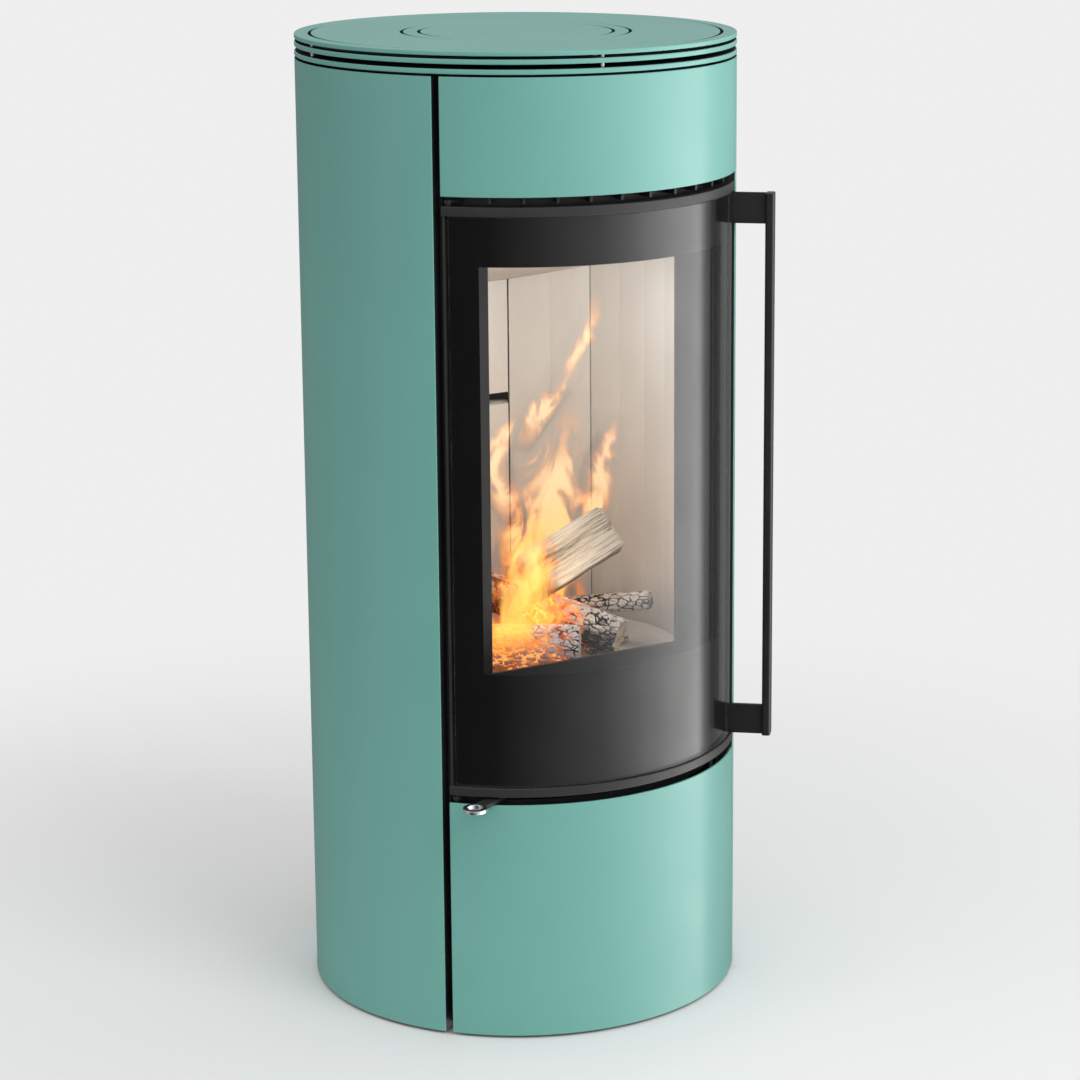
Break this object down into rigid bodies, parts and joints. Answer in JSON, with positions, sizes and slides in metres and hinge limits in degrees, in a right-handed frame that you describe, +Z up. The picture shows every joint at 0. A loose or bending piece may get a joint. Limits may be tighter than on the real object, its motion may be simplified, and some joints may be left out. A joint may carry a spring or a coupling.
{
  "type": "wood burning stove",
  "caption": "Tall round wood burning stove with a curved glass door, curved enamelled cladding, a lower compartment door, an ash pan and an air lever.",
  "frame": {"origin": "on the floor, on the vertical axis of the round body", "axes": "the front with the door faces -Y, +X is to the right as seen from the front, +Z is up"},
  "size_m": [0.4499, 0.45, 1.0025],
  "materials": {
    "teal_enamel": "satin",
    "black_steel": "matte",
    "rail_black": "satin",
    "handle_black": "satin",
    "lever_black": "satin",
    "zinc_steel": "satin",
    "sheet_steel": "matte",
    "cast_iron": "matte",
    "vermiculite": "matte",
    "rope_seal": "matte",
    "glass_print": "gloss",
    "clear_glass": "gloss",
    "fire_log": "matte"
  },
  "bodies": {
    "body": {"levelling_feet": "zinc_steel", "base_plate": "black_steel", "compartment_shell": "black_steel", "drawer_shelf": "black_steel", "air_box_floor": "black_steel", "spacer_band": "black_steel", "fresh_air_spigot": "black_steel", "fresh_air_duct": "black_steel", "lever_pivot_pin": "zinc_steel", "firebox_shell": "black_steel", "firebox_base": "black_steel", "firebox_top": "black_steel", "inner_front_plate": "black_steel", "floor_plate": "black_steel", "ash_chute": "black_steel", "grate": "cast_iron", "floor_brick_left": "vermiculite", "floor_brick_right": "vermiculite", "lining_back_lower": "vermiculite", "lining_back_upper": "vermiculite", "lining_rear_left": "vermiculite", "lining_rear_right": "vermiculite", "lining_side_left": "vermiculite", "lining_side_right": "vermiculite", "baffle_brick": "vermiculite", "smoke_plate": "black_steel", "rear_flue_spigot": "black_steel", "top_flue_collar": "black_steel", "collar_blanking_plate": "black_steel", "top_support_collar": "black_steel", "ring_lower": "teal_enamel", "ring_middle": "teal_enamel", "ring_top": "teal_enamel", "top_plate": "teal_enamel", "flue_ring": "teal_enamel", "flue_cover": "teal_enamel", "cover_support_tabs": "black_steel", "ring_spacers": "zinc_steel", "side_panel_left": "teal_enamel", "side_panel_right": "teal_enamel", "rear_panel": "black_steel", "upper_front_panel": "teal_enamel", "cladding_posts": "black_steel", "air_inlet_strip": "black_steel", "hinge_brackets": "black_steel", "hinge_pins": "zinc_steel", "catch_keeps": "zinc_steel", "fasteners": "zinc_steel", "firewood": "fire_log"},
    "fire_door": {"door_rails": "rail_black", "door_inner_frame": "rail_black", "door_rope_seal": "rope_seal", "glass_gasket": "rope_seal", "glass_print": "glass_print", "door_glass": "clear_glass", "door_handle": "handle_black"},
    "lower_door": {"lower_door_panel": "teal_enamel", "lower_door_hinge_plates": "black_steel"},
    "ash_pan": {"ash_pan": "sheet_steel"},
    "air_lever": {"air_lever": "lever_black"}
  },
  "joints": [
    {"name": "fire_door_hinge", "type": "hinge", "parent": "body", "child": "fire_door", "pos_m": [-0.16138, -0.14582, 0.55], "axis": [0, 0, -1], "range_deg": [0, 110]},
    {"name": "lower_door_hinge", "type": "hinge", "parent": "body", "child": "lower_door", "pos_m": [-0.16138, -0.14582, 0.125], "axis": [0, 0, -1], "range_deg": [0, 110]},
    {"name": "ash_pan_slide", "type": "slide", "parent": "body", "child": "ash_pan", "axis": [0, -1, 0], "range_m": [0, 0.201]},
    {"name": "air_lever_pivot", "type": "hinge", "parent": "body", "child": "air_lever", "pos_m": [0, -0.1, 0.253], "axis": [0, 0, 1], "range_deg": [0, 120]}
  ],
  "couplings": [
    {"joint": "ash_pan_slide", "follows": "lower_door_hinge", "m_per_rad": 0.10417}
  ]
}
